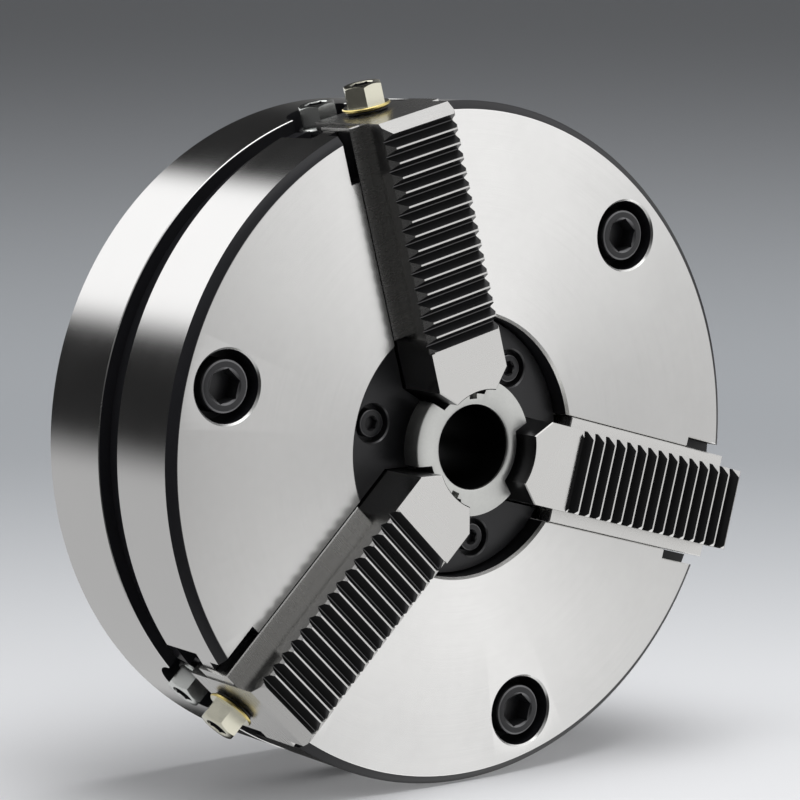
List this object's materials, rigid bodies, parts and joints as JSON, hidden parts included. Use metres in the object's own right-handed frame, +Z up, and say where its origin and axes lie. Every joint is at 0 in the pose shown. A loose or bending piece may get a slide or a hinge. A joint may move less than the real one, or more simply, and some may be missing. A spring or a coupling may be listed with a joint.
{
  "type": "three-jaw lathe chuck",
  "caption": "Round power chuck body with radial serrated base jaws driven together by a central draw piston and oblique wedge bars, with release spindles on the rim.",
  "frame": {"origin": "balance point (centroid) of the chuck, on the spindle axis, 36.9 mm in front of the rear mounting face and 34.1 mm behind the front face", "axes": "spindle axis along Y, working face looks along -Y, +Z up, so the chuck stands on its rim"},
  "size_m": [0.216, 0.084, 0.2164],
  "materials": {
    "body_steel": "finely ground and polished steel, rim bright, face with a fine grain",
    "jaw_steel": "ground hardened steel",
    "black_oxide": "black oxide, satin",
    "silver_zinc": "clear zinc plated, satin",
    "yellow_zinc": "yellow passivated zinc plate on steel",
    "machined_steel": "oiled machined steel",
    "seal_rubber": "matt black nitrile",
    "spring_steel": "drawn spring wire"
  },
  "bodies": {
    "chuck_body": {"front_body": "body_steel", "rear_body": "body_steel", "centre_flange": "black_oxide", "nose_sleeve": "body_steel", "adapter_plate": "machined_steel", "piston_seal": "seal_rubber", "body_dowel_1": "machined_steel", "body_dowel_2": "machined_steel", "flange_screw_1": "black_oxide", "flange_screw_2": "black_oxide", "flange_screw_3": "black_oxide", "body_screw_1": "black_oxide", "body_screw_2": "black_oxide", "body_screw_3": "black_oxide", "back_screw_1": "black_oxide", "back_screw_2": "black_oxide", "back_screw_3": "black_oxide", "back_screw_4": "black_oxide", "back_screw_5": "black_oxide", "back_screw_6": "black_oxide", "spindle_bush_1": "black_oxide", "spindle_bush_2": "black_oxide", "spindle_bush_3": "black_oxide", "latch_spring_1": "spring_steel", "latch_spring_2": "spring_steel", "latch_spring_3": "spring_steel"},
    "piston": {"draw_piston": "machined_steel", "draw_nut": "machined_steel"},
    "bar_1": {"wedge_bar_1": "machined_steel"},
    "jaw_1": {"base_jaw_1": "jaw_steel", "jaw_end_screw_1": "yellow_zinc", "jaw_end_washer_1": "black_oxide"},
    "spindle_1": {"release_spindle_1": "silver_zinc"},
    "pin_1": {"latch_pin_1": "machined_steel"},
    "bar_2": {"wedge_bar_2": "machined_steel"},
    "jaw_2": {"base_jaw_2": "jaw_steel", "jaw_end_screw_2": "yellow_zinc", "jaw_end_washer_2": "black_oxide"},
    "spindle_2": {"release_spindle_2": "silver_zinc"},
    "pin_2": {"latch_pin_2": "machined_steel"},
    "bar_3": {"wedge_bar_3": "machined_steel"},
    "jaw_3": {"base_jaw_3": "jaw_steel", "jaw_end_screw_3": "yellow_zinc", "jaw_end_washer_3": "black_oxide"},
    "spindle_3": {"release_spindle_3": "silver_zinc"},
    "pin_3": {"latch_pin_3": "machined_steel"}
  },
  "joints": [
    {"name": "piston_slide", "type": "slide", "parent": "chuck_body", "child": "piston", "axis": [0, -1, 0], "range_m": [0, 0.01]},
    {"name": "bar_slide_1", "type": "slide", "parent": "chuck_body", "child": "bar_1", "axis": [-0.9681, 0, -0.2504], "range_m": [0, 0.008]},
    {"name": "jaw_slide_1", "type": "slide", "parent": "chuck_body", "child": "jaw_1", "axis": [-0.2504, 0, 0.9681], "range_m": [0, 0.004]},
    {"name": "spindle_turn_1", "type": "hinge", "parent": "chuck_body", "child": "spindle_1", "pos_m": [-0.02504, 0.0069, 0.09681], "axis": [-0.2504, 0, 0.9681], "range_deg": [0, 180]},
    {"name": "pin_slide_1", "type": "slide", "parent": "chuck_body", "child": "pin_1", "axis": [0, 1, 0], "range_m": [0, 0.003]},
    {"name": "bar_slide_2", "type": "slide", "parent": "chuck_body", "child": "bar_2", "axis": [0.7009, 0, -0.7133], "range_m": [0, 0.008]},
    {"name": "jaw_slide_2", "type": "slide", "parent": "chuck_body", "child": "jaw_2", "axis": [-0.7133, 0, -0.7009], "range_m": [0, 0.004]},
    {"name": "spindle_turn_2", "type": "hinge", "parent": "chuck_body", "child": "spindle_2", "pos_m": [-0.07132, 0.0069, -0.07009], "axis": [-0.7133, 0, -0.7009], "range_deg": [0, 180]},
    {"name": "pin_slide_2", "type": "slide", "parent": "chuck_body", "child": "pin_2", "axis": [0, 1, 0], "range_m": [0, 0.003]},
    {"name": "bar_slide_3", "type": "slide", "parent": "chuck_body", "child": "bar_3", "axis": [0.2672, 0, 0.9636], "range_m": [0, 0.008]},
    {"name": "jaw_slide_3", "type": "slide", "parent": "chuck_body", "child": "jaw_3", "axis": [0.9636, 0, -0.2672], "range_m": [0, 0.004]},
    {"name": "spindle_turn_3", "type": "hinge", "parent": "chuck_body", "child": "spindle_3", "pos_m": [0.09636, 0.0069, -0.02672], "axis": [0.9636, 0, -0.2672], "range_deg": [0, 180]},
    {"name": "pin_slide_3", "type": "slide", "parent": "chuck_body", "child": "pin_3", "axis": [0, 1, 0], "range_m": [0, 0.003]}
  ],
  "couplings": [
    {"joint": "bar_slide_1", "follows": "piston_slide", "ratio": 0.8},
    {"joint": "jaw_slide_1", "follows": "piston_slide", "ratio": 0.4},
    {"joint": "pin_slide_1", "follows": "spindle_turn_1", "m_per_rad": 0.00095493},
    {"joint": "bar_slide_2", "follows": "piston_slide", "ratio": 0.8},
    {"joint": "jaw_slide_2", "follows": "piston_slide", "ratio": 0.4},
    {"joint": "pin_slide_2", "follows": "spindle_turn_2", "m_per_rad": 0.00095493},
    {"joint": "bar_slide_3", "follows": "piston_slide", "ratio": 0.8},
    {"joint": "jaw_slide_3", "follows": "piston_slide", "ratio": 0.4},
    {"joint": "pin_slide_3", "follows": "spindle_turn_3", "m_per_rad": 0.00095493}
  ]
}
